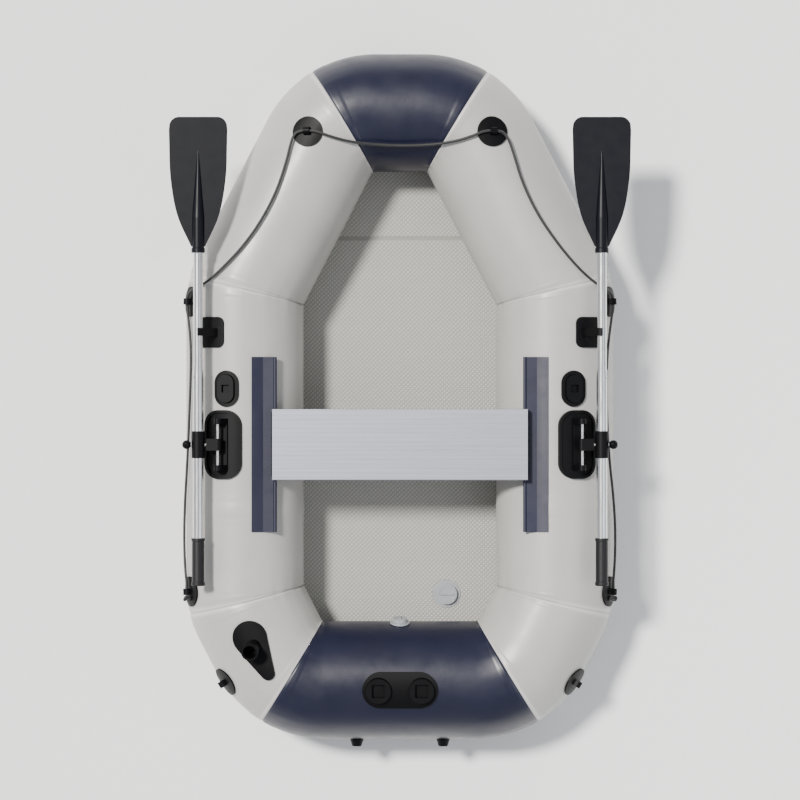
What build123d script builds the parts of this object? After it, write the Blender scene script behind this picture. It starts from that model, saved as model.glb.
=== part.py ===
from build123d import *
import os
from math import atan2, cos, degrees, pi, radians, sin, tan

# An inflatable rowing dinghy, in millimetres. +Y is the bow, +X is starboard, and it stands on Z = 0.

# Hull
hull_length = 2000  # bow skin to stern skin
hull_width = 1250
tube_diameter = 345
skin = 1.2  # coated fabric of the tubes
bow_half_run = 183.4  # half the bow tube, between the corners of the centreline
stern_half_run = 330.6
quarter_angle = 27.4  # of the quarter tubes, from straight ahead
bend_slack = 15  # how much the bend radius exceeds the tube radius
glue_gap = 0.2  # between a glued piece and what it is glued to
fit = 0.05  # radial clearance of a pin in its hole

# Bottom
bottom_sheet_thickness = 1.2
bottom_tape_thickness = 1.4
bottom_tape_width = 40
bottom_side_inset = 35  # of the sheet's edge, from the centreline of the tube
bottom_quarter_inset = 7
bottom_end_inset = -4
deck_thickness = 56
deck_inset = 115
deck_edge_radius = 27
deck_corner_radius = 60
baffle_y = -326

# Seat
plank_length = 730
plank_width = 204
plank_thickness = 22
plank_wall = 3
plank_cells = 4
groove_count = 16
groove_width = 4
groove_depth = 0.8
rail_length = 502
rail_center_y = -138
rail_base_inner = 385
rail_base_outer = 425
rail_fabric = 2
bead_x = 358
bead_radius = 5
channel_length = 184
channel_wall = 5.5
channel_foot = 14
slot_play = 0.6
bead_play = 0.4
screw_spacing = 76

# Oars and oarlocks
oarlock_y = -138
oarlock_angle = 19  # round the tube, from straight up
oarlock_base_width = 113
oarlock_base_length = 197
oarlock_base_corner = 45
pad_thickness = 5
hinge_height = 36  # of the hinge pin, above the skin
hinge_pin_radius = 4
hinge_gap_length = 117  # between the two lugs
lug_thickness = 16
knuckle_radius = 11
knuckle_length = 34
arm_reach = 56  # hinge pin to oar
arm_end = 33
bolt_radius = 4
collar_radius = 19
collar_length = 77
knob_radius = 13
handle_shaft_radius = 15.5
shaft_wall = 1.5
oar_tip_y = 798
blade_start_y = 410
handle_shaft_end_y = 76
shaft_overlap = 80
grip_length = 136
oar_end_y = -541
button_radius = 4
button_y = 57
blade_half_width = 83.5
blade_thickness = 5

# Fittings on the tubes
keeper_y = 184
keeper_size = 88
socket_y = 22
socket_angle = 15
eye_radius = 44
eye_rope_height = 11  # of the rope's centre, above the skin
eye_arch_radius = 6.2
eye_arch_wall = 4.6
eye_arch_width = 18
stern_knob_length = 21
stern_knob_spacing = 252
stern_plate_spacing = 124
rope_radius = 4

# What follows from them
keel = bottom_tape_thickness + glue_gap + bottom_sheet_thickness + glue_gap  # under the tubes
tube_radius = tube_diameter / 2
bend_radius = tube_radius + bend_slack
tube_z = keel + tube_radius
middle_y = stern_knob_length / 2  # of the hull alone, so that the knobs leave the box centred
side_x = hull_width / 2 - tube_radius
bow_y = middle_y + hull_length / 2 - tube_radius
stern_y = middle_y - hull_length / 2 + tube_radius
bow_shoulder_y = bow_y - (side_x - bow_half_run) / tan(radians(quarter_angle))
stern_shoulder_y = stern_y + (side_x - stern_half_run) / tan(radians(quarter_angle))
pin_x = side_x + (tube_radius + hinge_height) * sin(radians(oarlock_angle))
pin_z = tube_z + (tube_radius + hinge_height) * cos(radians(oarlock_angle))
oar_x = pin_x + arm_reach
blade_shaft_radius = handle_shaft_radius - shaft_wall - 2 * fit
bead_z = tube_z + tube_radius - 9.4
plank_z = bead_z + bead_radius + bead_play + channel_wall

pieces = {}


def tube_run(start, end, start_turn, end_turn):
    """One panel of the hull tube, from corner to corner of the centreline, with half of each bend."""
    start = Vector(start[0], start[1], tube_z)
    end = Vector(end[0], end[1], tube_z)
    way = (end - start).normalized()
    first = start + way * bend_radius * tan(radians(start_turn / 2))
    last = end - way * bend_radius * tan(radians(end_turn / 2))
    inward = Vector(0, 0, 1).cross(way)
    turns = (start_turn / 2, end_turn / 2)
    return {"first": first, "last": last, "way": way, "inward": inward, "turns": turns}


def tube_part(run, radius):
    """The panel's solid: a straight length with half a bend at each end."""

    def section(origin):
        with BuildSketch(Plane(origin, x_dir=run["inward"], z_dir=run["way"])) as ring:
            Circle(radius)
        return ring.sketch

    first_hub = run["first"] + run["inward"] * bend_radius
    last_hub = run["last"] + run["inward"] * bend_radius
    with BuildPart() as tube:
        extrude(section(run["first"]), amount=(run["last"] - run["first"]).length)
        revolve(section(run["first"]), Axis(first_hub, (0, 0, -1)), run["turns"][0])
        revolve(section(run["last"]), Axis(last_hub, (0, 0, 1)), run["turns"][1])
    return tube.part


def on_tube(run, along, angle, height=0):
    """A plane on the skin, Z out of it and Y along the tube, at an angle outwards from straight up."""
    straight = (run["last"] - run["first"]).length
    foot = run["first"] + run["way"] * min(max(along, 0), straight)
    turn = (min(along, 0) + max(along - straight, 0)) / bend_radius
    hub = foot + run["inward"] * bend_radius
    way = run["way"].rotate(Axis.Z, degrees(turn))
    inward = Vector(0, 0, 1).cross(way)
    out = Vector(0, 0, 1) * cos(radians(angle)) - inward * sin(radians(angle))
    origin = hub - inward * bend_radius + out * (tube_radius + height)
    return Plane(origin, x_dir=way.cross(out), z_dir=out)


def turned(plane, angle):
    """The same plane, turned about its own Z."""
    return Plane(plane.location * Location((0, 0, 0), (0, 0, angle)))


def to_port(part):
    """The same piece on the other side of the boat."""
    return mirror(part, about=Plane.YZ, mode=Mode.PRIVATE)


def pair(name, part):
    """A piece that both sides have, as one node a side."""
    pieces[f"{name}_right"] = part
    pieces[f"{name}_left"] = to_port(part)


def outline(side_inset, quarter_inset, end_inset):
    """Corners of the hull's plan at these distances inside the tubes' centreline."""
    slope = tan(radians(quarter_angle))
    cut = quarter_inset / cos(radians(quarter_angle))
    x = side_x - side_inset
    drop = (side_inset - cut) / slope
    bow = (bow_half_run - cut + end_inset * slope, bow_y - end_inset)
    stern = (stern_half_run - cut + end_inset * slope, stern_y + end_inset)
    right = [stern, (x, stern_shoulder_y - drop), (x, bow_shoulder_y + drop), bow]
    return right + [(-px, py) for px, py in reversed(right)]


# Runs of the tube, anticlockwise from above, on the starboard side
end_turn = 90 - quarter_angle
stern_run = tube_run((-stern_half_run, stern_y), (stern_half_run, stern_y), end_turn, end_turn)
stern_quarter_run = tube_run((stern_half_run, stern_y), (side_x, stern_shoulder_y), end_turn, quarter_angle)
side_run = tube_run((side_x, stern_shoulder_y), (side_x, bow_shoulder_y), quarter_angle, quarter_angle)
bow_quarter_run = tube_run((side_x, bow_shoulder_y), (bow_half_run, bow_y), quarter_angle, end_turn)
bow_run = tube_run((bow_half_run, bow_y), (-bow_half_run, bow_y), end_turn, end_turn)


def side_along(y):
    """Distance along the side tube of a place y ahead of the hull's middle."""
    return y + middle_y - side_run["first"].Y


# Inflation valves: a flanged body in the wall, a sprung poppet pushed to let air out, and a screw cap
valve_flange = 3
valve_neck = 11
valve_depth = 18
valve_stem_radius = 3
valve_cap_top = 15


def valve_body(flange_radius, neck_radius, wall=None):
    with BuildPart() as body:
        with BuildSketch(Plane.XY.offset(-valve_flange)):
            Circle(flange_radius)
        extrude(amount=2 * valve_flange)
        fillet(body.edges().group_by(Axis.Z)[-1], 1.2)
        if wall:
            add(wall, mode=Mode.SUBTRACT)
        else:
            split(bisect_by=Plane.XY.offset(glue_gap), keep=Keep.TOP)
        with BuildSketch(Plane.XY.offset(-valve_depth)):
            Circle(neck_radius + 2)
        extrude(amount=valve_depth + 1)
        with BuildSketch(Plane.XY.offset(valve_flange)):
            Circle(neck_radius)
        extrude(amount=valve_neck - valve_flange)
        with BuildSketch(Plane.XY.offset(-valve_depth)):
            Circle(neck_radius - 4)
        extrude(amount=valve_depth + valve_neck, mode=Mode.SUBTRACT)
        with BuildSketch(Plane.XY.offset(-valve_depth + 6)):
            Rectangle(2 * neck_radius - 6, 5)
            Rectangle(5, 2 * neck_radius - 6)
            Circle(valve_stem_radius + 3)
            Circle(valve_stem_radius + fit, mode=Mode.SUBTRACT)
        extrude(amount=3)
    return body.part


def valve_stem(neck_radius):
    with BuildPart() as stem:
        with BuildSketch(Plane.XY.offset(-valve_depth - 3.3)):
            Circle(neck_radius - 1.5)
        extrude(amount=3)
        with BuildSketch(Plane.XY.offset(-valve_depth - 1)):
            Circle(valve_stem_radius)
        extrude(amount=valve_depth + 6)
        with BuildSketch(Plane.XY.offset(4)):
            Circle(neck_radius - 8)
        extrude(amount=3)
        fillet(stem.edges().group_by(Axis.Z)[-1], 0.8)
    return stem.part


def valve_cap(neck_radius):
    cap_radius = neck_radius + 3.5
    with BuildPart() as cap:
        with BuildSketch(Plane.XY.offset(valve_flange + 0.3)):
            Circle(cap_radius)
            with PolarLocations(cap_radius + 1, 12):
                Circle(2, mode=Mode.SUBTRACT)
        extrude(amount=valve_cap_top - valve_flange - 0.3)
        with BuildSketch(Plane.XY.offset(valve_cap_top - 1)):
            Circle(neck_radius - 5)
        extrude(amount=1, mode=Mode.SUBTRACT)
        with BuildSketch(Plane.XY.offset(valve_cap_top - 1)):
            Rectangle(2 * neck_radius - 12, 5)
        extrude(amount=4)
        with BuildSketch(Plane.XY.offset(valve_flange + 0.3)):
            Circle(neck_radius + fit)
        extrude(amount=valve_neck - valve_flange, mode=Mode.SUBTRACT)
    return cap.part


tube_valve_neck = 18
tube_valve_flange = 29
deck_valve_neck = 27
deck_valve_flange = 41
stern_valve_plane = on_tube(stern_run, (stern_run["last"] - stern_run["first"]).length / 2, -78)
side_valve_plane = on_tube(side_run, side_along(rail_center_y), -62)
deck_top = keel + deck_thickness
deck_valve_plane = Plane((138, -584 + middle_y, deck_top))

for name, run, plane in (("stern", stern_run, stern_valve_plane), ("side", side_run, side_valve_plane)):
    wall = tube_part(run, tube_radius + glue_gap).moved(plane.location.inverse())
    body = valve_body(tube_valve_flange, tube_valve_neck, wall).moved(plane.location)
    stem = valve_stem(tube_valve_neck).moved(plane.location)
    cap = valve_cap(tube_valve_neck).moved(plane.location)
    for part_name, part in (("body", body), ("stem", stem), ("cap", cap)):
        pieces[f"{name}_valve_{part_name}"] = part if name == "stern" else to_port(part)
pieces["deck_valve_body"] = valve_body(deck_valve_flange, deck_valve_neck).moved(deck_valve_plane.location)
pieces["deck_valve_stem"] = valve_stem(deck_valve_neck).moved(deck_valve_plane.location)
pieces["deck_valve_cap"] = valve_cap(deck_valve_neck).moved(deck_valve_plane.location)


bend_step = 2.6  # degrees of bend between two of its rings


def ringed_tube(run, radius):
    """A solid the shape of the panel, each half bend made of straight-sided rings."""
    with BuildPart() as tube:
        with BuildSketch(Plane(run["first"], x_dir=run["inward"], z_dir=run["way"])):
            Circle(radius)
        extrude(amount=(run["last"] - run["first"]).length)
        for end, turn, sense in ((run["first"], run["turns"][0], -1), (run["last"], run["turns"][1], 1)):
            hub = Axis(end + run["inward"] * bend_radius, (0, 0, 1))
            rings = round(turn / bend_step)
            for ring in range(rings + 1):
                angle = sense * turn * ring / rings
                center = Vertex(*end).rotate(hub, angle).center()
                inward = run["inward"].rotate(Axis.Z, angle)
                way = run["way"].rotate(Axis.Z, angle) * sense
                with BuildSketch(Plane(center, x_dir=inward, z_dir=way)):
                    Circle(radius)
            loft(ruled=True)
    return tube.part


def tube_panel(run, valve_plane=None):
    """A hollow panel of the tube, with the hole that its valve goes through."""
    with BuildPart() as panel:
        add(ringed_tube(run, tube_radius))
        add(ringed_tube(run, tube_radius - skin), mode=Mode.SUBTRACT)
        if valve_plane:
            with BuildSketch(valve_plane):
                Circle(tube_valve_neck + 2 + glue_gap)
            extrude(amount=tube_radius / 4, both=True, mode=Mode.SUBTRACT)
    return panel.part


pieces["bow_tube"] = tube_panel(bow_run)
pieces["stern_tube"] = tube_panel(stern_run, stern_valve_plane)
pair("bow_quarter_tube", tube_panel(bow_quarter_run))
pair("stern_quarter_tube", tube_panel(stern_quarter_run))
pieces["side_tube_right"] = tube_panel(side_run)
pieces["side_tube_left"] = to_port(tube_panel(side_run, side_valve_plane))

# Two fabric baffles part the ring into a bow chamber and a stern chamber
with BuildPart() as chamber_baffles:
    for x in (-side_x, side_x):
        with BuildSketch(Plane((x, baffle_y + middle_y, tube_z), x_dir=(1, 0, 0), z_dir=(0, 1, 0))):
            Circle(tube_radius - skin - glue_gap)
        extrude(amount=skin)
pieces["chamber_baffles"] = chamber_baffles.part

# Bottom sheet, the seam tape under its edge, and the drop-stitch air deck on it
sheet_plan = outline(bottom_side_inset, bottom_quarter_inset, bottom_end_inset)
with BuildPart() as bottom_seam_tape:
    with BuildSketch() as tape_plan:
        with BuildLine():
            Polyline(*sheet_plan, close=True)
        make_face()
        offset(amount=-bottom_tape_width, mode=Mode.SUBTRACT)
    extrude(amount=bottom_tape_thickness)
pieces["bottom_seam_tape"] = bottom_seam_tape.part

with BuildPart() as bottom_sheet:
    with BuildSketch(Plane.XY.offset(bottom_tape_thickness + glue_gap)):
        with BuildLine():
            Polyline(*sheet_plan, close=True)
        make_face()
    extrude(amount=bottom_sheet_thickness)
pieces["bottom_sheet"] = bottom_sheet.part

with BuildPart() as air_deck:
    with BuildSketch(Plane.XY.offset(keel)) as deck_plan:
        with BuildLine():
            Polyline(*outline(deck_inset, deck_inset, deck_inset), close=True)
        make_face()
        fillet(deck_plan.vertices(), deck_corner_radius)
    extrude(amount=deck_thickness)
    fillet(air_deck.edges().group_by(Axis.Z)[-1], deck_edge_radius)
    fillet(air_deck.edges().group_by(Axis.Z)[0], deck_edge_radius)
    with BuildSketch(deck_valve_plane):
        Circle(deck_valve_neck + 2 + glue_gap)
    extrude(amount=-valve_depth - 14, mode=Mode.SUBTRACT)
pieces["air_deck"] = air_deck.part

# Seat: rails glued to the side tubes, with a bead that the plank's channels run on
with BuildPart() as seat_rail:
    with BuildSketch(Plane((0, rail_center_y + middle_y, 0), x_dir=(1, 0, 0), z_dir=(0, -1, 0))):
        with Locations((side_x, tube_z)):
            Circle(tube_radius + glue_gap + rail_fabric)
            Circle(tube_radius + glue_gap, mode=Mode.SUBTRACT)
        base_width = rail_base_outer - rail_base_inner
        with Locations((rail_base_inner + base_width / 2, tube_z + tube_radius)):
            Rectangle(base_width, tube_diameter / 2, mode=Mode.INTERSECT)
        with Locations(((bead_x + rail_base_inner + 8) / 2, bead_z)):
            Rectangle(rail_base_inner + 8 - bead_x, rail_fabric)
        with Locations((bead_x, bead_z)):
            Circle(bead_radius)
    extrude(amount=rail_length / 2, both=True)
pair("seat_rail", seat_rail.part)

channel_half = bead_radius + bead_play + channel_wall
with BuildPart() as seat_channel:
    with BuildSketch(Plane((0, rail_center_y + middle_y, 0), x_dir=(1, 0, 0), z_dir=(0, -1, 0))):
        with Locations((bead_x, bead_z)):
            Rectangle(2 * channel_half, 2 * channel_half)
        with Locations((bead_x - channel_half - channel_foot / 2, plank_z - channel_wall / 2)):
            Rectangle(channel_foot, channel_wall)
        with Locations((bead_x, bead_z)):
            Circle(bead_radius + bead_play, mode=Mode.SUBTRACT)
        with Locations((bead_x + channel_half, bead_z)):
            Rectangle(2 * channel_half, rail_fabric + 2 * slot_play, mode=Mode.SUBTRACT)
    extrude(amount=channel_length / 2, both=True)
    screw_x = bead_x - channel_half - channel_foot / 2
    with Locations(Plane((screw_x, rail_center_y + middle_y, plank_z))):
        with GridLocations(1, screw_spacing, 1, 3):
            Hole(2.4 + fit)
with BuildPart() as seat_channels:
    add(seat_channel.part)
    add(to_port(seat_channel.part))
pieces["seat_channels"] = seat_channels.part

with BuildPart() as seat_plank:
    plank_plane = Plane((0, rail_center_y + middle_y, plank_z), x_dir=(0, 1, 0), z_dir=(1, 0, 0))
    with BuildSketch(plank_plane) as plank_section:
        with Locations((0, plank_thickness / 2)):
            Rectangle(plank_width, plank_thickness)
        fillet(plank_section.vertices(), 2.5)
        cell = (plank_width - plank_wall * (plank_cells + 1)) / plank_cells
        with Locations((0, plank_thickness / 2)):
            with GridLocations(cell + plank_wall, 1, plank_cells, 1):
                Rectangle(cell, plank_thickness - 2 * plank_wall, mode=Mode.SUBTRACT)
        with Locations((0, plank_thickness)):
            with GridLocations(plank_width / groove_count, 1, groove_count, 1):
                Rectangle(groove_width, 2 * groove_depth, mode=Mode.SUBTRACT)
    extrude(amount=plank_length / 2, both=True)
    with Locations(Plane((0, rail_center_y + middle_y, plank_z))):
        with GridLocations(2 * screw_x, screw_spacing, 2, 3):
            Cylinder(2.4 + fit, 4 * plank_wall, mode=Mode.SUBTRACT)
pieces["seat_plank"] = seat_plank.part

with BuildPart() as seat_screws:
    with Locations(Plane((0, rail_center_y + middle_y, plank_z - channel_wall - glue_gap))):
        with GridLocations(2 * screw_x, screw_spacing, 2, 3):
            Cylinder(4.5, 2.6, align=(Align.CENTER, Align.CENTER, Align.MAX))
            Cylinder(2.4, channel_wall + plank_wall + 2, align=(Align.CENTER, Align.CENTER, Align.MIN))
pieces["seat_screws"] = seat_screws.part

# Oarlock: a base on the side tube with two lugs and a hinge pin, an arm on the pin, and an oar on its bolt
side_skin = tube_part(side_run, tube_radius + glue_gap)
side_pad = tube_part(side_run, tube_radius + glue_gap + pad_thickness)
side_rim = tube_part(side_run, tube_radius + glue_gap + 2 * pad_thickness)
lock_y = oarlock_y + middle_y
base_plane = on_tube(side_run, side_along(oarlock_y), oarlock_angle)

with BuildPart() as rim:
    with BuildSketch(base_plane):
        RectangleRounded(oarlock_base_width, oarlock_base_length, oarlock_base_corner)
        RectangleRounded(oarlock_base_width - 16, oarlock_base_length - 16, oarlock_base_corner - 8,
                         mode=Mode.SUBTRACT)
    extrude(amount=tube_radius / 3, both=True)
    add(side_rim, mode=Mode.INTERSECT)

with BuildPart() as oarlock_base:
    with BuildSketch(base_plane):
        RectangleRounded(oarlock_base_width, oarlock_base_length, oarlock_base_corner)
    extrude(amount=tube_radius / 3, both=True)
    add(side_pad, mode=Mode.INTERSECT)
    add(rim.part)
    lug_y = (hinge_gap_length + lug_thickness) / 2
    with BuildSketch(Plane(base_plane.origin, x_dir=base_plane.x_dir, z_dir=-base_plane.y_dir)) as lug_side:
        with Locations((0, hinge_height)):
            Circle(knuckle_radius)
        with BuildLine():
            lug_foot = 20
            Polyline((-lug_foot, 0), (lug_foot, 0), (knuckle_radius, hinge_height),
                     (-knuckle_radius, hinge_height), close=True)
        make_face()
    extrude(amount=lug_y + lug_thickness / 2, both=True)
    with BuildSketch(base_plane.offset(2 * pad_thickness)):
        Rectangle(80, hinge_gap_length)
    extrude(amount=tube_radius / 3, mode=Mode.SUBTRACT)
    add(side_skin, mode=Mode.SUBTRACT)
    with BuildSketch(Plane((pin_x, lock_y, pin_z), x_dir=(1, 0, 0), z_dir=(0, -1, 0))):
        Circle(hinge_pin_radius + fit)
    extrude(amount=oarlock_base_length / 2, both=True, mode=Mode.SUBTRACT)
pair("oarlock_base", oarlock_base.part)

hinge_end = Plane((pin_x, lock_y, pin_z), x_dir=(1, 0, 0), z_dir=(0, -1, 0))
with BuildPart() as oarlock_pin:
    with BuildSketch(hinge_end):
        Circle(hinge_pin_radius)
    extrude(amount=hinge_gap_length / 2 + lug_thickness, both=True)
    chamfer(oarlock_pin.edges().filter_by(GeomType.CIRCLE), 0.8)
pair("oarlock_pin", oarlock_pin.part)

bolt_start = Plane((pin_x, lock_y, pin_z), x_dir=(0, 1, 0), z_dir=(1, 0, 0))
with BuildPart() as oarlock_arm:
    with BuildSketch(hinge_end):
        Circle(knuckle_radius)
        with BuildLine():
            Polyline((0, knuckle_radius), (arm_end, 8.5), (arm_end, -8.5), (0, -knuckle_radius), close=True)
        make_face()
    extrude(amount=knuckle_length / 2, both=True)
    fillet(oarlock_arm.edges().filter_by(Axis.Z), 4)
    with BuildSketch(hinge_end):
        Circle(hinge_pin_radius + fit)
    extrude(amount=knuckle_length, both=True, mode=Mode.SUBTRACT)
    with BuildSketch(bolt_start.offset(knuckle_radius + 3)):
        Circle(bolt_radius + fit)
    extrude(amount=arm_end, mode=Mode.SUBTRACT)
pair("oarlock_arm", oarlock_arm.part)

knob_start = arm_reach + collar_radius + 1
with BuildPart() as oarlock_bolt:
    with BuildSketch(bolt_start.offset(knuckle_radius + 3.2)):
        Circle(bolt_radius)
    extrude(amount=knob_start + 2 * knob_radius - knuckle_radius - 3.2)
    chamfer(oarlock_bolt.edges().group_by(Axis.X)[-1], 0.8)
pair("oarlock_bolt", oarlock_bolt.part)

with BuildPart() as oarlock_knob:
    with Locations((pin_x + knob_start + knob_radius, lock_y, pin_z)):
        Sphere(knob_radius)
    with BuildSketch(bolt_start.offset(knob_start + knob_radius / 2)):
        with PolarLocations(knob_radius + 1.5, 8):
            Circle(3)
    extrude(amount=2 * knob_radius, mode=Mode.SUBTRACT)
    with BuildSketch(bolt_start):
        Circle(bolt_radius + fit)
    extrude(amount=4 * arm_reach, mode=Mode.SUBTRACT)
pair("oarlock_knob", oarlock_knob.part)

# Oar, with its shaft along Y
along_oar = Plane((oar_x, middle_y, pin_z), x_dir=(1, 0, 0), z_dir=(0, 1, 0))
with BuildPart() as oar_collar:
    with BuildSketch(along_oar.offset(oarlock_y)):
        Circle(collar_radius)
        Circle(handle_shaft_radius + fit, mode=Mode.SUBTRACT)
    extrude(amount=collar_length / 2, both=True)
    chamfer(oar_collar.edges().filter_by(GeomType.CIRCLE), 1)
    with BuildSketch(bolt_start):
        Circle(bolt_radius + fit)
    extrude(amount=2 * arm_reach, mode=Mode.SUBTRACT)
pair("oar_collar", oar_collar.part)

button_plane = Plane((oar_x, button_y + middle_y, pin_z), x_dir=(0, 1, 0), z_dir=(1, 0, 1))
with BuildPart() as oar_handle_shaft:
    with BuildSketch(along_oar.offset(oar_end_y + 6)):
        Circle(handle_shaft_radius)
        Circle(handle_shaft_radius - shaft_wall, mode=Mode.SUBTRACT)
    extrude(amount=handle_shaft_end_y - oar_end_y - 6)
    with BuildSketch(bolt_start):
        Circle(bolt_radius + fit)
    extrude(amount=2 * arm_reach, mode=Mode.SUBTRACT)
    with BuildSketch(button_plane):
        Circle(button_radius + fit)
    extrude(amount=arm_reach, mode=Mode.SUBTRACT)
pair("oar_handle_shaft", oar_handle_shaft.part)

socket_depth = 72
with BuildPart() as oar_blade_shaft:
    with BuildSketch(along_oar.offset(handle_shaft_end_y - shaft_overlap)):
        Circle(blade_shaft_radius)
        Circle(blade_shaft_radius - shaft_wall, mode=Mode.SUBTRACT)
    extrude(amount=blade_start_y + socket_depth - handle_shaft_end_y + shaft_overlap)
    with BuildSketch(button_plane):
        Circle(button_radius + fit)
    extrude(amount=arm_reach, mode=Mode.SUBTRACT)
pair("oar_blade_shaft", oar_blade_shaft.part)

with BuildPart() as oar_snap_button:
    with BuildSketch(button_plane.offset(7)):
        Circle(button_radius + 2)
    extrude(amount=3)
    with BuildSketch(button_plane.offset(9)):
        Circle(button_radius)
    extrude(amount=handle_shaft_radius - 5)
    button_edges = oar_snap_button.edges().filter_by(GeomType.CIRCLE)
    fillet(button_edges.sort_by(Axis(button_plane.origin, (1, 0, 1)))[-1], 2)
pair("oar_snap_button", oar_snap_button.part)

socket_radius = 17.5
socket_rim_radius = 19.5
rib_end_radius = 2.4
blade_root = 18  # of the blade's own plate, ahead of the socket's mouth
blade_corner = 28
with BuildPart() as oar_blade:
    with BuildSketch(Plane((oar_x, blade_start_y + middle_y, pin_z))) as blade_plan:
        with BuildLine() as blade_edge:
            Polyline((0, blade_root), (20, blade_root))
            shoulder = Spline((20, blade_root), (56, 97), (76, 190), (82, 280), tangents=((0.45, 1), (0, 1)))
            tip = oar_tip_y - blade_start_y
            Polyline(shoulder @ 1, (blade_half_width, 350), (blade_half_width - 3, tip), (0, tip))
            mirror(about=Plane.YZ)
        make_face()
        tip_corners = blade_plan.vertices().group_by(Axis.Y)[-1].sort_by(Axis.X)
        fillet([tip_corners[0], tip_corners[-1]], blade_corner)
    extrude(amount=blade_thickness / 2, both=True)
    with BuildSketch(Plane((oar_x, blade_start_y + middle_y, pin_z))):
        with BuildLine():
            Polyline((0, 0), (socket_rim_radius, 0), (socket_rim_radius, 12), (socket_radius, 14),
                     (socket_radius, 100), (rib_end_radius, 296), (0, 296), close=True)
        make_face()
    revolve(axis=Axis((oar_x, 0, pin_z), (0, 1, 0)))
    with BuildSketch(along_oar.offset(blade_start_y)):
        Circle(blade_shaft_radius + fit)
    extrude(amount=socket_depth + 0.3, mode=Mode.SUBTRACT)
pair("oar_blade", oar_blade.part)

grip_radius = 17.6
grip_rim_radius = 19.5
grip_rim = 9
grip_wall = 5.7  # closing its inboard end
with BuildPart() as oar_grip:
    with BuildSketch(Plane((oar_x, oar_end_y + middle_y, pin_z))):
        with BuildLine():
            Polyline((0, 0), (grip_radius, 0), (grip_rim_radius, 3), (grip_rim_radius, grip_rim),
                     (grip_radius, grip_rim + 4), (grip_radius, grip_length - grip_rim),
                     (grip_rim_radius, grip_length - grip_rim + 2), (grip_rim_radius, grip_length),
                     (0, grip_length), close=True)
        make_face()
    revolve(axis=Axis((oar_x, 0, pin_z), (0, 1, 0)))
    with BuildSketch(along_oar.offset(oar_end_y + grip_wall)):
        Circle(handle_shaft_radius + fit)
    extrude(amount=grip_length, mode=Mode.SUBTRACT)
pair("oar_grip", oar_grip.part)

# Oar keeper: a pad on the side tube with a hook that holds the oar's shaft from inboard
oar_angle = degrees(atan2(oar_x - side_x, pin_z - tube_z))
oar_height = ((oar_x - side_x) ** 2 + (pin_z - tube_z) ** 2) ** 0.5 - tube_radius
keeper_plane = on_tube(side_run, side_along(keeper_y), oar_angle)
hook_radius = blade_shaft_radius + 1.8
hook_wall = 5
hook_tip = radians(118)  # from where the hook starts, over the shaft's inboard side
hook_foot = radians(208)  # to where it meets its stalk
reach = 60  # of the sector cut from the ring
with BuildPart() as oar_keeper:
    with BuildSketch(keeper_plane):
        RectangleRounded(keeper_size, keeper_size, 18)
    extrude(amount=tube_radius / 3, both=True)
    add(side_pad, mode=Mode.INTERSECT)
    with BuildSketch(Plane(keeper_plane.origin, x_dir=keeper_plane.x_dir, z_dir=-keeper_plane.y_dir)):
        with Locations((0, oar_height)):
            Circle(hook_radius + hook_wall)
            Circle(hook_radius, mode=Mode.SUBTRACT)
        with BuildLine():
            Polyline(
                (0, oar_height), (reach * cos(hook_foot), oar_height + reach * sin(hook_foot)), (0, -reach),
                (reach, -reach), (reach, 2 * reach),
                (reach * cos(hook_tip), oar_height + reach * sin(hook_tip)), close=True,
            )
        make_face(mode=Mode.SUBTRACT)
        with BuildLine():
            Polyline((-hook_radius - hook_wall, oar_height), (-hook_radius, oar_height),
                     (-hook_radius + 2, 0), (-hook_radius - 12, 0), close=True)
        make_face()
        with Locations((34, 4)):
            Rectangle(9, 10)
    extrude(amount=11, both=True)
    add(side_skin, mode=Mode.SUBTRACT)
with BuildPart() as oar_keepers:
    add(oar_keeper.part)
    add(to_port(oar_keeper.part))
pieces["oar_keepers"] = oar_keepers.part

# Accessory sockets on top of the side tubes
socket_plane = on_tube(side_run, side_along(socket_y), socket_angle)
with BuildPart() as accessory_socket:
    with BuildSketch(socket_plane):
        SlotOverall(104, 72, rotation=90)
    extrude(amount=tube_radius / 3, both=True)
    add(side_pad, mode=Mode.INTERSECT)
    with BuildSketch(socket_plane):
        SlotOverall(86, 54, rotation=90)
    extrude(amount=13, taper=12)
    add(side_skin, mode=Mode.SUBTRACT)
    with BuildSketch(socket_plane.offset(3)):
        Rectangle(22, 22)
    extrude(amount=20, mode=Mode.SUBTRACT)
with BuildPart() as accessory_sockets:
    add(accessory_socket.part)
    add(to_port(accessory_socket.part))
pieces["accessory_sockets"] = accessory_sockets.part


def rope_eye(run, plane):
    """A round patch with an arch that a rope runs under, along the tube."""
    with BuildPart() as eye:
        with BuildSketch(plane):
            Circle(eye_radius)
        extrude(amount=tube_radius / 3, both=True)
        add(tube_part(run, tube_radius + glue_gap + pad_thickness * 0.8), mode=Mode.INTERSECT)
        with BuildSketch(Plane(plane.origin, x_dir=plane.x_dir, z_dir=-plane.y_dir)):
            with Locations((0, eye_rope_height)):
                Circle(eye_arch_radius + eye_arch_wall)
            with Locations((0, eye_rope_height / 2)):
                Rectangle(2 * (eye_arch_radius + eye_arch_wall), eye_rope_height)
            with Locations((0, eye_rope_height)):
                Circle(eye_arch_radius, mode=Mode.SUBTRACT)
            with Locations((0, eye_rope_height - eye_arch_radius / 2)):
                Rectangle(2 * eye_arch_radius, eye_arch_radius, mode=Mode.SUBTRACT)
        extrude(amount=eye_arch_width / 2, both=True)
        add(tube_part(run, tube_radius + glue_gap), mode=Mode.SUBTRACT)
    return eye.part


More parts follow.
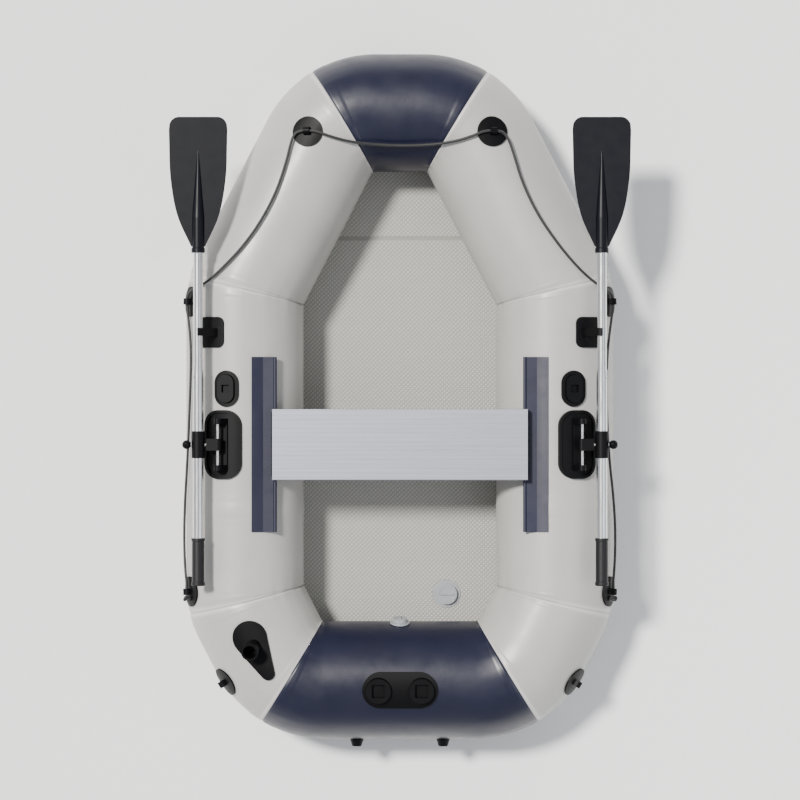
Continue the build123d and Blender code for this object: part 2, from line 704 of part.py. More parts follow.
bow_eye_turn = 58.6  # from along the tube to straight across the boat
bow_eye_plane = turned(on_tube(bow_quarter_run, 438, 14), bow_eye_turn)
side_eye_planes = (on_tube(side_run, side_along(269), 63), on_tube(side_run, -10, 64))
stern_eye_plane = on_tube(stern_quarter_run, -18, 66)
with BuildPart() as rope_eyes:
    add(rope_eye(bow_quarter_run, bow_eye_plane))
    for plane in side_eye_planes:
        add(rope_eye(side_run, plane))
    add(rope_eye(stern_quarter_run, stern_eye_plane))
pair("rope_eyes", rope_eyes.part)

# Towing eye under the bow
towing_plane = turned(on_tube(bow_run, (bow_run["last"] - bow_run["first"]).length / 2, 128), 90)
pieces["bow_towing_eye"] = rope_eye(bow_run, towing_plane)

# Rod holder on the port stern quarter: a teardrop base with a tilted tube
holder_bore = 19
holder_wall = 3
holder_height = 70
holder_plane = on_tube(stern_quarter_run, 12, 9)
holder_lean = (0.15, -0.2, 0.97)  # outboard and aft
holder_foot = holder_plane.offset(-10).origin + holder_plane.y_dir * 14
holder_tube_plane = Plane(holder_foot, x_dir=(1, 0, -0.15), z_dir=holder_lean)
stern_quarter_skin = tube_part(stern_quarter_run, tube_radius + glue_gap)
with BuildPart() as rod_holder:
    with BuildSketch(holder_plane) as teardrop:
        with Locations((0, 40)):
            Circle(50)
        with Locations((0, -74)):
            Circle(20)
        make_hull()
    extrude(amount=tube_radius / 3, both=True)
    add(tube_part(stern_quarter_run, tube_radius + glue_gap + pad_thickness), mode=Mode.INTERSECT)
    with BuildSketch(holder_tube_plane):
        Circle(holder_bore + holder_wall)
    extrude(amount=holder_height)
    with BuildSketch(holder_tube_plane.offset(holder_height - 6)):
        Circle(holder_bore + holder_wall + 3)
    extrude(amount=6)
    add(stern_quarter_skin, mode=Mode.SUBTRACT)
    with BuildSketch(holder_tube_plane.offset(18)):
        Circle(holder_bore)
    extrude(amount=holder_height, mode=Mode.SUBTRACT)
pieces["rod_holder"] = to_port(rod_holder.part)

# Plate with two square sockets on top of the stern tube
stern_middle = (stern_run["last"] - stern_run["first"]).length / 2
plate_plane = on_tube(stern_run, stern_middle, 5)
stern_skin = tube_part(stern_run, tube_radius + glue_gap)
with BuildPart() as stern_plate:
    with BuildSketch(plate_plane):
        SlotOverall(216, 105, rotation=90)
    extrude(amount=tube_radius / 3, both=True)
    add(tube_part(stern_run, tube_radius + glue_gap + pad_thickness), mode=Mode.INTERSECT)
    with BuildSketch(plate_plane):
        with GridLocations(1, stern_plate_spacing, 1, 2):
            Circle(38)
    extrude(amount=16, taper=8)
    add(stern_skin, mode=Mode.SUBTRACT)
    with BuildSketch(plate_plane.offset(4)):
        with GridLocations(1, stern_plate_spacing, 1, 2):
            RectangleRounded(38, 38, 4)
    extrude(amount=20, mode=Mode.SUBTRACT)
pieces["stern_plate"] = stern_plate.part

# Two tapered knobs on the stern's outer face
with BuildPart() as stern_knobs:
    for offset_y in (-stern_knob_spacing / 2, stern_knob_spacing / 2):
        knob_plane = on_tube(stern_run, stern_middle + offset_y, 90)
        with BuildSketch(knob_plane.offset(-6)):
            Circle(21.5)
        with BuildSketch(knob_plane.offset(stern_knob_length)):
            Circle(13.5)
        loft()
    fillet(stern_knobs.edges().filter_by(GeomType.CIRCLE).group_by(Axis.Y)[0], 3)
    add(stern_skin, mode=Mode.SUBTRACT)
pieces["stern_knobs"] = stern_knobs.part

# Ropes: the points of each route, which a tube follows in straight runs and arcs
bow_route = [
    (267, 771, 354), (243, 771, 359), (212, 757, 359), (165, 742, 351), (100, 733, 331), (20, 730, 325),
    (-65, 732, 327), (-140, 739, 343), (-200, 754, 357), (-243, 771, 359), (-267, 771, 354),
]
right_route = [
    (267, 771, 354), (292, 771, 348), (310, 751, 346), (326, 704, 348), (350, 622, 352), (393, 532, 354),
    (448, 452, 351), (500, 390, 343), (545, 348, 328), (579, 327, 304), (597, 321, 284), (615, 303, 260),
    (616, 264, 259), (608, 215, 274), (599, 150, 286), (595, 60, 291), (596, -30, 290), (600, -115, 285),
    (607, -195, 275), (617, -275, 257), (624, -360, 241), (624, -440, 241), (620, -500, 250),
    (617, -530, 256), (617, -555, 256),
]
left_route = [
    (-267, 771, 354), (-290, 771, 349), (-306, 757, 347), (-315, 728, 348), (-324, 688, 351),
    (-352, 600, 355), (-396, 515, 355), (-448, 442, 351), (-500, 387, 344), (-546, 345, 328),
    (-580, 326, 303), (-597, 321, 284), (-615, 303, 260), (-616, 264, 259), (-609, 218, 271),
    (-603, 150, 280), (-604, 60, 279), (-608, -30, 273), (-612, -120, 266), (-617, -205, 257),
    (-623, -290, 243), (-626, -375, 235), (-625, -450, 238), (-621, -505, 248), (-617, -531, 256),
    (-617, -555, 256),
]
towing_route = [
    (0, 984, 61), (0, 974, 48.5), (5, 964, 32), (16, 959, 14), (36, 956, 5), (64, 951, 4.4), (98, 955, 4.4),
    (128, 969, 4.4),
]
arc_share = 0.45  # of the shorter run beside a bend, used by its arc


def rope(points):
    """A tube along the route: straight runs, and arcs as large as their two runs allow."""
    corners = [Vector(*point) for point in points]
    radii = []
    with BuildPart() as tube:
        with BuildLine() as route:
            start = corners[0]
            for before, corner, after in zip(corners, corners[1:], corners[2:]):
                back = before - corner
                ahead = after - corner
                reach = arc_share * min(back.length, ahead.length)
                half_angle = radians(back.get_angle(ahead) / 2)
                radii.append(reach * tan(half_angle))
                inward = (back.normalized() + ahead.normalized()).normalized()
                arc_start = corner + back.normalized() * reach
                arc_end = corner + ahead.normalized() * reach
                Line(start, arc_start)
                ThreePointArc(arc_start, corner + inward * radii[-1] * (1 / sin(half_angle) - 1), arc_end)
                start = arc_end
            Line(start, corners[-1])
        with BuildSketch(Plane(route.line @ 0, z_dir=route.line % 0)):
            Circle(rope_radius)
        sweep()
    length = sum(edge.length for edge in route.line.edges())
    share = tube.part.volume / (length * pi * rope_radius**2)
    print("rope length", round(length), "volume share", round(share, 4))
    print("bend radii", [round(radius) for radius in radii])
    return tube.part


pieces["lifeline_bow"] = rope(bow_route)
pieces["lifeline_right"] = rope(right_route)
pieces["lifeline_left"] = rope(left_route)
pieces["towing_rope"] = rope(towing_route)

if __name__ == "__main__":
    os.makedirs("parts", exist_ok=True)
    for name, part in pieces.items():
        part.label = name
        export_step(part, f"parts/{name}.step")
    print(len(pieces), "nodes")
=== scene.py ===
from math import atan2, cos, exp, pi, radians, sin

import bpy
from mathutils import Matrix, Vector, noise


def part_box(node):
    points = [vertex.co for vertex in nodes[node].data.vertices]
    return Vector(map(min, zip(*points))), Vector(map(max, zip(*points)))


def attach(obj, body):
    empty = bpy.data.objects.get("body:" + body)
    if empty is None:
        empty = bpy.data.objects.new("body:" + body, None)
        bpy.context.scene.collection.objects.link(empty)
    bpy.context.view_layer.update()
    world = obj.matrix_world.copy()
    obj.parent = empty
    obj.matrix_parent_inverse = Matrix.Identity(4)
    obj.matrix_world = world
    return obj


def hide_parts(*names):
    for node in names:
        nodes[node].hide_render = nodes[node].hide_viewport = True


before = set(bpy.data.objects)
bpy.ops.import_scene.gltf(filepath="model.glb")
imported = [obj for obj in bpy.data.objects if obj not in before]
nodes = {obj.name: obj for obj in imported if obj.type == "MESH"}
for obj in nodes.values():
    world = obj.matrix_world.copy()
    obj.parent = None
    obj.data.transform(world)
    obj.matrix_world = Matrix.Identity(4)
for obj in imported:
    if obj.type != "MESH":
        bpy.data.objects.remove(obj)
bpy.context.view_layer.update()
print("frame loaded,", len(nodes), "nodes")


# ---- small helpers

def clearSelection():
    if bpy.context.object and bpy.context.object.mode != "OBJECT":
        bpy.ops.object.mode_set(mode="OBJECT")
    bpy.ops.object.select_all(action="DESELECT")


def takeActive(obj):
    clearSelection()
    obj.select_set(True)
    bpy.context.view_layer.objects.active = obj
    return obj


def settle(obj, name):
    # place goes into the mesh, so the object sits at the origin
    takeActive(obj)
    bpy.ops.object.transform_apply(location=True, rotation=True, scale=True)
    obj.name = name
    obj.data.name = name
    return obj


def newMesh(name, verts, faces):
    data = bpy.data.meshes.new(name)
    data.from_pydata([tuple(v) for v in verts], [], faces)
    data.update()
    obj = bpy.data.objects.new(name, data)
    bpy.context.scene.collection.objects.link(obj)
    return obj


def smooth(obj, degrees=40):
    takeActive(obj)
    bpy.ops.object.shade_smooth_by_angle(angle=radians(degrees))
    return obj


def fixNormals(obj):
    takeActive(obj)
    bpy.ops.object.mode_set(mode="EDIT")
    bpy.ops.mesh.select_all(action="SELECT")
    bpy.ops.mesh.normals_make_consistent(inside=False)
    bpy.ops.object.mode_set(mode="OBJECT")
    return obj


def dress(obj, material):
    obj.data.materials.clear()
    obj.data.materials.append(material)
    return obj


# ---- materials

class Finish:
    # one Principled material with its nodes laid out by short calls
    def __init__(self, name, color, roughness, **sockets):
        self.material = bpy.data.materials.new(name)
        self.material.use_nodes = True
        self.nodes = self.material.node_tree.nodes
        self.links = self.material.node_tree.links
        self.shader = self.nodes["Principled BSDF"]
        self.shader.inputs["Base Color"].default_value = (*color, 1)
        self.shader.inputs["Roughness"].default_value = roughness
        for socket, value in sockets.items():
            self.shader.inputs[socket].default_value = value
        self.place = self.nodes.new("ShaderNodeTexCoord").outputs["Object"]
        self.color = color
        self.height = None

    def stretch(self, scale):
        mapping = self.nodes.new("ShaderNodeMapping")
        mapping.inputs["Scale"].default_value = scale
        self.links.new(self.place, mapping.inputs["Vector"])
        return mapping.outputs["Vector"]

    def noise(self, scale, detail=3, stretch=(1, 1, 1)):
        texture = self.nodes.new("ShaderNodeTexNoise")
        texture.inputs["Scale"].default_value = scale
        texture.inputs["Detail"].default_value = detail
        self.links.new(self.stretch(stretch), texture.inputs["Vector"])
        return texture.outputs["Fac"]

    def ramp(self, fac, low, high, start=0.35, end=0.65):
        ramp = self.nodes.new("ShaderNodeValToRGB")
        ramp.color_ramp.elements[0].position = start
        ramp.color_ramp.elements[0].color = (*low, 1)
        ramp.color_ramp.elements[1].position = end
        ramp.color_ramp.elements[1].color = (*high, 1)
        self.links.new(fac, ramp.inputs["Fac"])
        return ramp.outputs["Color"]

    def mottle(self, fac, amount, start=0.35, end=0.65):
        low = [c * (1 - amount) for c in self.color]
        high = [min(1, c * (1 + amount)) for c in self.color]
        self.links.new(self.ramp(fac, low, high, start, end), self.shader.inputs["Base Color"])
        return self

    def streak(self, attribute, color):
        # where the attribute is 1 the colour takes over
        where = self.nodes.new("ShaderNodeAttribute")
        where.attribute_name = attribute
        mix = self.nodes.new("ShaderNodeMix")
        mix.data_type = "RGBA"
        base = self.shader.inputs["Base Color"].links[0].from_socket
        self.links.new(where.outputs["Fac"], mix.inputs[0])
        self.links.new(base, mix.inputs[6])
        mix.inputs[7].default_value = (*color, 1)
        self.links.new(mix.outputs[2], self.shader.inputs["Base Color"])
        return self

    def gloss(self, fac, low, high):
        spread = self.nodes.new("ShaderNodeMapRange")
        spread.inputs["To Min"].default_value = low
        spread.inputs["To Max"].default_value = high
        spread.inputs["From Min"].default_value = 0.3
        spread.inputs["From Max"].default_value = 0.7
        self.links.new(fac, spread.inputs["Value"])
        self.links.new(spread.outputs["Result"], self.shader.inputs["Roughness"])
        return self

    def bump(self, fac, strength, distance):
        bump = self.nodes.new("ShaderNodeBump")
        bump.inputs["Strength"].default_value = strength
        bump.inputs["Distance"].default_value = distance
        self.links.new(fac, bump.inputs["Height"])
        if self.height:
            self.links.new(self.height, bump.inputs["Normal"])
        self.height = bump.outputs["Normal"]
        self.links.new(self.height, self.shader.inputs["Normal"])
        return self


def coatedFabric(name, color, roughness, mottleAmount, coat=0.0, line=None):
    # PVC over a woven scrim: a faint grain, and slow changes in tone and gloss
    finish = Finish(name, color, roughness, **{"Coat Weight": coat, "Coat Roughness": 0.25})
    finish.mottle(finish.noise(7, 5), mottleAmount)
    finish.gloss(finish.noise(16, 4), roughness - 0.05, roughness + 0.07)
    finish.bump(finish.noise(900, 2), 0.12, 0.0002)
    finish.bump(finish.noise(38, 3), 0.06, 0.004)
    if line:
        finish.streak("weld", line)
    return finish.material


def mouldedPlastic(name, color, roughness, grain=0.25, shine=0.5):
    finish = Finish(name, color, roughness, **{"Specular IOR Level": shine})
    finish.mottle(finish.noise(60, 4), 0.05)
    finish.gloss(finish.noise(30, 2), roughness - 0.02, roughness + 0.03)
    finish.bump(finish.noise(1400, 2), grain, 0.0001)
    return finish.material


def brushedMetal(name, color, roughness, stretch, scratch=0.3, spread=0.09):
    # the brush lines run along the axis that is stretched least
    finish = Finish(name, color, roughness, Metallic=1.0)
    lines = finish.noise(2200, 3, stretch)
    finish.mottle(finish.noise(1300, 2, stretch), 0.03)
    finish.gloss(lines, roughness - spread, roughness + spread)
    finish.bump(lines, scratch, 0.00008)
    return finish.material


weldGrey = (0.62, 0.61, 0.59)
tubeGrey = coatedFabric("tubeGreyFabric", (0.41, 0.402, 0.382), 0.40, 0.03, coat=0.12, line=weldGrey)
tubeNavy = coatedFabric("tubeNavyFabric", (0.0038, 0.0048, 0.0205), 0.38, 0.08, coat=0.08)
hullBlack = coatedFabric("bottomBlackFabric", (0.008, 0.009, 0.012), 0.24, 0.14, coat=0.35)
tapeBlack = coatedFabric("ribbedSeamTape", (0.011, 0.011, 0.013), 0.38, 0.12)
deckFinish = Finish("deckFabric", (0.37, 0.36, 0.33), 0.5)
# a vertex attribute paints shade into the deck: darker in the emboss grooves and the seam, lighter on the
# raised pads (painted highlight)
embossPaintedShadeNode = deckFinish.nodes.new("ShaderNodeAttribute")
embossPaintedShadeNode.attribute_name = "embossPaintedShade"
deckPaintedShade = deckFinish.ramp(embossPaintedShadeNode.outputs["Fac"], (0.24, 0.232, 0.21), (0.42, 0.41, 0.38), 0.0, 0.45)
deckFinish.links.new(deckPaintedShade, deckFinish.shader.inputs["Base Color"])
deckFinish.gloss(deckFinish.noise(20, 3), 0.44, 0.56)
deckFinish.bump(deckFinish.noise(900, 2), 0.12, 0.0002)
deckGrey = deckFinish.material
railNavy = coatedFabric("railNavyFabric", (0.0048, 0.0060, 0.0240), 0.45, 0.08)
scrimGrey = coatedFabric("baffleFabric", (0.27, 0.27, 0.27), 0.6, 0.05)
blackPlastic = mouldedPlastic("blackNylon", (0.0022, 0.0022, 0.0028), 0.46, 0.05, 0.13)
gripRubber = mouldedPlastic("gripRubber", (0.005, 0.005, 0.006), 0.5, 0.15, 0.35)
bladePlastic = mouldedPlastic("bladePlastic", (0.0022, 0.0026, 0.0056), 0.40, 0.02, 0.20)
valvePlastic = mouldedPlastic("valvePlastic", (0.30, 0.315, 0.33), 0.28, 0.1)
plankMetal = brushedMetal("plankAluminium", (0.43, 0.445, 0.50), 0.40, (0.002, 0.45, 1), 0.05, 0.035)
shaftMetal = brushedMetal("shaftAluminium", (0.72, 0.72, 0.73), 0.24, (1, 0.01, 1), 0.12)
steel = brushedMetal("stainlessSteel", (0.60, 0.60, 0.60), 0.26, (1, 0.05, 1), 0.1)

ropeFinish = Finish("braidedRope", (0.012, 0.012, 0.013), 0.6, **{"Sheen Weight": 0.15})
ropeFinish.mottle(ropeFinish.noise(500, 2), 0.5)
ropeFinish.bump(ropeFinish.noise(2600, 2), 0.4, 0.0002)
ropeBlack = ropeFinish.material
print("materials made")


# ---- camera, looking straight down with the bow at the top

cameraSet = {"height": 9.0, "frame": 2.33, "middle": (0.0, 0.0)}
camData = bpy.data.cameras.new("topCamera")
camData.lens = camData.sensor_width * (cameraSet["height"] - 0.2) / cameraSet["frame"]
camera = bpy.data.objects.new("topCamera", camData)
camera.location = (*cameraSet["middle"], cameraSet["height"])
bpy.context.scene.collection.objects.link(camera)
bpy.context.scene.camera = camera


# ---- ropes

ropeSet = {
    "radius": 0.004, "sides": 16, "step": 0.0021, "relief": 0.11, "strands": 4, "pitch": 0.021,
    "knotSize": 0.0033, "knotSteps": 96, "resolution": 12,
}
bowRoute = [
    (267, 771, 354), (243, 771, 359), (212, 757, 359), (165, 742, 351), (100, 733, 331), (20, 730, 325),
    (-65, 732, 327), (-140, 739, 343), (-200, 754, 357), (-243, 771, 359), (-267, 771, 354),
]
rightRoute = [
    (267, 771, 354), (292, 771, 348), (310, 751, 346), (326, 704, 348), (350, 622, 352), (393, 532, 354),
    (448, 452, 351), (500, 390, 343), (545, 348, 328), (579, 327, 304), (597, 321, 284), (615, 303, 260),
    (616, 264, 259), (608, 215, 274), (599, 150, 286), (595, 60, 291), (596, -30, 290), (600, -115, 285),
    (607, -195, 275), (617, -275, 257), (624, -360, 241), (624, -440, 241), (620, -500, 250),
    (617, -530, 256), (617, -555, 256),
]
leftRoute = [
    (-267, 771, 354), (-290, 771, 349), (-306, 757, 347), (-315, 728, 348), (-324, 688, 351),
    (-352, 600, 355), (-396, 515, 355), (-448, 442, 351), (-500, 387, 344), (-546, 345, 328),
    (-580, 326, 303), (-597, 321, 284), (-615, 303, 260), (-616, 264, 259), (-609, 218, 271),
    (-603, 150, 280), (-604, 60, 279), (-608, -30, 273), (-612, -120, 266), (-617, -205, 257),
    (-623, -290, 243), (-626, -375, 235), (-625, -450, 238), (-621, -505, 248), (-617, -531, 256),
    (-617, -555, 256),
]
towingRoute = [
    (0, 984, 61), (0, 974, 48.5), (5, 964, 32), (16, 959, 14), (36, 956, 5), (64, 951, 4.4), (98, 955, 4.4),
    (128, 969, 4.4),
]


def smoothLine(name, route):
    # a NURBS spline with the route as its control points
    data = bpy.data.curves.new(name, "CURVE")
    data.dimensions = "3D"
    spline = data.splines.new("NURBS")
    spline.points.add(len(route) - 1)
    for point, place in zip(spline.points, route):
        point.co = (place[0] / 1000, place[1] / 1000, place[2] / 1000, 1)
    spline.order_u = 3
    spline.use_endpoint_u = True
    spline.resolution_u = ropeSet["resolution"]
    line = bpy.data.objects.new(name, data)
    bpy.context.scene.collection.objects.link(line)
    mesh = bpy.data.meshes.new_from_object(line)
    points = [v.co.copy() for v in mesh.vertices]
    bpy.data.meshes.remove(mesh)
    bpy.data.objects.remove(line)
    return points


def evenSteps(points, step):
    out = [points[0]]
    carried = 0.0
    for a, b in zip(points, points[1:]):
        run = (b - a).length
        reach = step - carried
        while reach <= run:
            out.append(a.lerp(b, reach / run))
            reach += step
        carried = run - (reach - step)
    if (out[-1] - points[-1]).length > step * 0.3:
        out.append(points[-1])
    return out


def braid(name, points):
    # a tube along the points whose skin has two sets of strands crossing
    points = evenSteps(points, ropeSet["step"])
    sides = ropeSet["sides"]
    half = ropeSet["strands"] / 2
    verts, faces = [], []
    ahead = (points[1] - points[0]).normalized()
    side = ahead.orthogonal().normalized()
    for i, point in enumerate(points):
        after = points[min(i + 1, len(points) - 1)]
        before = points[max(i - 1, 0)]
        ahead = (after - before).normalized()
        side = (side - ahead * side.dot(ahead)).normalized()
        other = ahead.cross(side)
        turn = 2 * pi * i * ropeSet["step"] / ropeSet["pitch"]
        for k in range(sides):
            angle = 2 * pi * k / sides
            strand = abs(sin(half * (angle + turn)) * sin(half * (angle - turn)))
            radius = ropeSet["radius"] * (1 - ropeSet["relief"] + ropeSet["relief"] * 1.4 * strand)
            verts.append(point + (side * cos(angle) + other * sin(angle)) * radius)
        if i:
            row = (i - 1) * sides
            for k in range(sides):
                n = (k + 1) % sides
                faces.append((row + k, row + n, row + sides + n, row + sides + k))
    last = (len(points) - 1) * sides
    faces.append(tuple(reversed(range(sides))))
    faces.append(tuple(range(last, last + sides)))
    rope = newMesh(name, verts, faces)
    for polygon in rope.data.polygons:
        polygon.use_smooth = True
    dress(rope, ropeBlack)
    return rope


def knot(name, middle, axis):
    # an overhand knot drawn up tight, with its tail inside
    size = ropeSet["knotSize"]
    axis = Vector(axis).normalized()
    side = axis.orthogonal().normalized()
    other = axis.cross(side)
    points = []
    for k in range(ropeSet["knotSteps"] + 1):
        t = 2 * pi * k / ropeSet["knotSteps"]
        across = (sin(t) + 2 * sin(2 * t)) * size
        over = (cos(t) - 2 * cos(2 * t)) * size
        along = -sin(3 * t) * size * 1.25
        points.append(Vector(middle) + side * across + other * over + axis * along)
    piece = braid(name, points)
    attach(piece, "hull")
    return piece


def lifeline(name, route, node):
    points = smoothLine(name, route)
    rope = braid(name, points)
    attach(rope, "hull")
    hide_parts(node)
    return rope


knotRight = knot("knotRight", (0.6160, -0.5745, 0.2559), (0.053, 0.999, 0))
knotLeft = knot("knotLeft", (-0.6160, -0.5745, 0.2559), (-0.053, 0.999, 0))
knotTowingEye = knot("knotTowingEye", (0, 0.9955, 0.0755), (0, 0.616, 0.788))
knotTowingTail = knot("knotTowingTail", (0.140, 0.9745, 0.0090), (0, 0, 1))
lifeline("ropeBow", bowRoute, "lifeline_bow")
lifeline("ropeRight", rightRoute, "lifeline_right")
lifeline("ropeLeft", leftRoute, "lifeline_left")
lifeline("ropeTowing", towingRoute, "towing_rope")


# ---- air tubes: eight welded panels

panelSet = {
    "around": 128, "step": 0.008, "bendSteps": 26, "shortBendSteps": 13, "lap": 0.022, "lapHeight": 0.0008,
    "seamDepth": 0.0022, "seamWidth": 0.0035, "pucker": 0.0040, "puckerReach": 0.055, "swell": 0.0010,
    "valleyDepth": 0.0038, "valleyWidth": 0.016, "tapeAt": -0.3149, "tapeWidth": 0.026, "tapeHeight": 0.0006,
    "weldAt": 0.0045, "weldWidth": 0.0022, "weldHeight": 0.0006,
}
tubeSize = {"radius": 0.1725, "height": 0.1755, "bend": 0.1875}
steepTurn, softTurn = 31.3, 13.7  # degrees each end of a panel turns to meet the next one
runs = {  # node, start, end, turns and colour of each panel, going round the boat to port
    "bowTube": ("bow_tube", (0.0694, 0.8380), (-0.0694, 0.8380), (steepTurn, steepTurn), "navy"),
    "bowQuarterRight": (
        "bow_quarter_tube_right", (0.43147, 0.35943), (0.23586, 0.73679), (softTurn, steepTurn), "grey"),
    "sideRight": ("side_tube_right", (0.4525, -0.53612), (0.4525, 0.27315), (softTurn, softTurn), "grey"),
    "sternQuarterRight": (
        "stern_quarter_tube_right", (0.38306, -0.71579), (0.43147, -0.62241), (steepTurn, softTurn), "grey"),
    "sternTube": ("stern_tube", (-0.2166, -0.8170), (0.2166, -0.8170), (steepTurn, steepTurn), "navy"),
    "bowQuarterLeft": (
        "bow_quarter_tube_left", (-0.23586, 0.73679), (-0.43147, 0.35943), (steepTurn, softTurn), "grey"),
    "sideLeft": ("side_tube_left", (-0.4525, 0.27315), (-0.4525, -0.53612), (softTurn, softTurn), "grey"),
    "sternQuarterLeft": (
        "stern_quarter_tube_left", (-0.43147, -0.62241), (-0.38306, -0.71579), (softTurn, steepTurn), "grey"),
}


def seamFold(angle, distance, seed):
    # folds that run away from a seam: strongest on the inside of the bend, gone a hand's width along
    inside = max(0.0, cos(angle)) ** 0.8 * 0.9 + 0.28
    folds = noise.noise(Vector((cos(angle) * 5.5 + seed, sin(angle) * 5.5, seed * 1.7)))
    folds += 0.5 * noise.noise(Vector((cos(angle) * 12 + seed, sin(angle) * 12, seed * 2.3)))
    lean = noise.noise(Vector((angle * 2, seed, distance * 9)))
    fading = exp(-distance / panelSet["puckerReach"])
    return panelSet["pucker"] * inside * (folds - 0.35 + 0.3 * lean) * fading


def bendSteps(turn):
    return panelSet["bendSteps" if turn == steepTurn else "shortBendSteps"]


def makePanel(name, node, start, end, turns, colour):
    first = Vector((*start, tubeSize["height"]))
    last = Vector((*end, tubeSize["height"]))
    way = (last - first).normalized()
    inward = Vector((0, 0, 1)).cross(way)
    length = (last - first).length
    hubs = (first + inward * tubeSize["bend"], last + inward * tubeSize["bend"])
    back = Matrix.Rotation(-radians(turns[0]), 3, "Z")
    opening = hubs[0] + back @ (first - hubs[0])
    heading = back @ way
    takeAngle = atan2(heading.x, -heading.y)
    clearSelection()
    bpy.ops.mesh.primitive_circle_add(vertices=panelSet["around"], radius=tubeSize["radius"],
                                      location=opening, rotation=(pi / 2, 0, takeAngle))
    tube = settle(bpy.context.object, name)
    bpy.ops.object.mode_set(mode="EDIT")
    bpy.ops.mesh.select_all(action="SELECT")
    bpy.ops.mesh.spin(steps=bendSteps(turns[0]), angle=-radians(turns[0]), center=hubs[0], axis=(0, 0, 1))
    count = max(4, round(length / panelSet["step"]))
    for _ in range(count):
        bpy.ops.mesh.extrude_edges_move(TRANSFORM_OT_translate={"value": tuple(way * (length / count))})
    bpy.ops.mesh.spin(steps=bendSteps(turns[1]), angle=-radians(turns[1]), center=hubs[1], axis=(0, 0, 1))
    bpy.ops.mesh.select_all(action="SELECT")
    bpy.ops.mesh.remove_doubles(threshold=0.00002)
    bpy.ops.mesh.select_all(action="DESELECT")
    bpy.ops.mesh.select_non_manifold()
    bpy.ops.mesh.edge_face_add()
    bpy.ops.object.mode_set(mode="OBJECT")
    forward = Matrix.Rotation(radians(turns[1]), 3, "Z")
    closing = hubs[1] + forward @ (last - hubs[1])
    seeds = (round(opening.x * 7.3 + opening.y * 3.1, 3), round(closing.x * 7.3 + closing.y * 3.1, 3))
    arcs = (tubeSize["bend"] * radians(turns[0]), tubeSize["bend"] * radians(turns[1]))
    total = arcs[0] + length + arcs[1]
    weld = tube.data.color_attributes.new("weld", "FLOAT_COLOR", "POINT")
    for vertex in tube.data.vertices:
        spot = vertex.co
        along = (spot - first).dot(way)
        if along < 0:
            offset = (spot - hubs[0]) * Vector((1, 1, 0))
            angle = offset.angle(first - hubs[0])
            axis = hubs[0] + offset.normalized() * tubeSize["bend"]
            fromStart = arcs[0] - tubeSize["bend"] * angle
            inside = -offset.normalized()
        elif along > length:
            offset = (spot - hubs[1]) * Vector((1, 1, 0))
            angle = offset.angle(last - hubs[1])
            axis = hubs[1] + offset.normalized() * tubeSize["bend"]
            fromStart = arcs[0] + length + tubeSize["bend"] * angle
            inside = -offset.normalized()
        else:
            axis = first + way * along
            fromStart = arcs[0] + along
            inside = inward
        out = (spot - axis).normalized()
        around = atan2(out.z, out.dot(inside))
        move = -panelSet["lapHeight"] - panelSet["swell"] * (0.5 + 0.5 * noise.noise(spot * 6.5))
        for distance, seed in ((max(0, fromStart), seeds[0]), (max(0, total - fromStart), seeds[1])):
            if distance < panelSet["lap"]:
                move += panelSet["lapHeight"]
            move -= panelSet["seamDepth"] * exp(-(distance / panelSet["seamWidth"]) ** 2)
            move += seamFold(around, distance, seed)
        nearest = min(abs(fromStart), abs(total - fromStart))
        ridge = exp(-((nearest - panelSet["weldAt"]) / panelSet["weldWidth"]) ** 2)
        move += panelSet["weldHeight"] * ridge
        weld.data[vertex.index].color = (ridge, ridge, ridge, 1)
        for distance, bend in ((max(0, fromStart), turns[0]), (max(0, total - fromStart), turns[1])):
            if bend == softTurn:  # the long sides meet the quarters in a soft valley
                top = 0.35 + 0.65 * max(0, cos(around - 0.6))
                move -= panelSet["valleyDepth"] * top * exp(-(distance / panelSet["valleyWidth"]) ** 2)
        if node.startswith("side_tube"):
            fromTape = abs(spot.y - panelSet["tapeAt"])
            if fromTape < panelSet["tapeWidth"] / 2:
                move = panelSet["tapeHeight"] - 0.0004
            elif fromTape < panelSet["tapeWidth"] * 1.5:
                move = max(move, -0.0008)
        vertex.co = spot + out * min(move, 0.0004)
    fixNormals(tube)
    smooth(tube, 60)
    dress(tube, tubeNavy if colour == "navy" else tubeGrey)
    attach(tube, "hull")
    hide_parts(node)
    return tube


for name, (node, start, end, turns, colour) in runs.items():
    makePanel(name, node, start, end, turns, colour)
print("tubes made")


# ---- floor deck

deckSet = {
    "width": 0.618, "length": 1.362, "middle": 0.0105, "pitch": 0.0032, "relief": 0.0011, "padEdge": 0.25,
    "lift": 0.0003, "seamAt": 0.480, "seamWidth": 0.006, "valveFlange": 0.0415, "valveHole": 0.034,
    "wobble": 0.0004, "halfWidth": 0.3095, "bowCorner": 0.28, "sternCorner": -0.545, "cut": (0.887, 0.4602),
}
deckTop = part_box("air_deck")[1].z


def keepInside(point, normal):
    bpy.ops.mesh.select_all(action="SELECT")
    bpy.ops.mesh.bisect(plane_co=point, plane_no=normal, clear_outer=True)


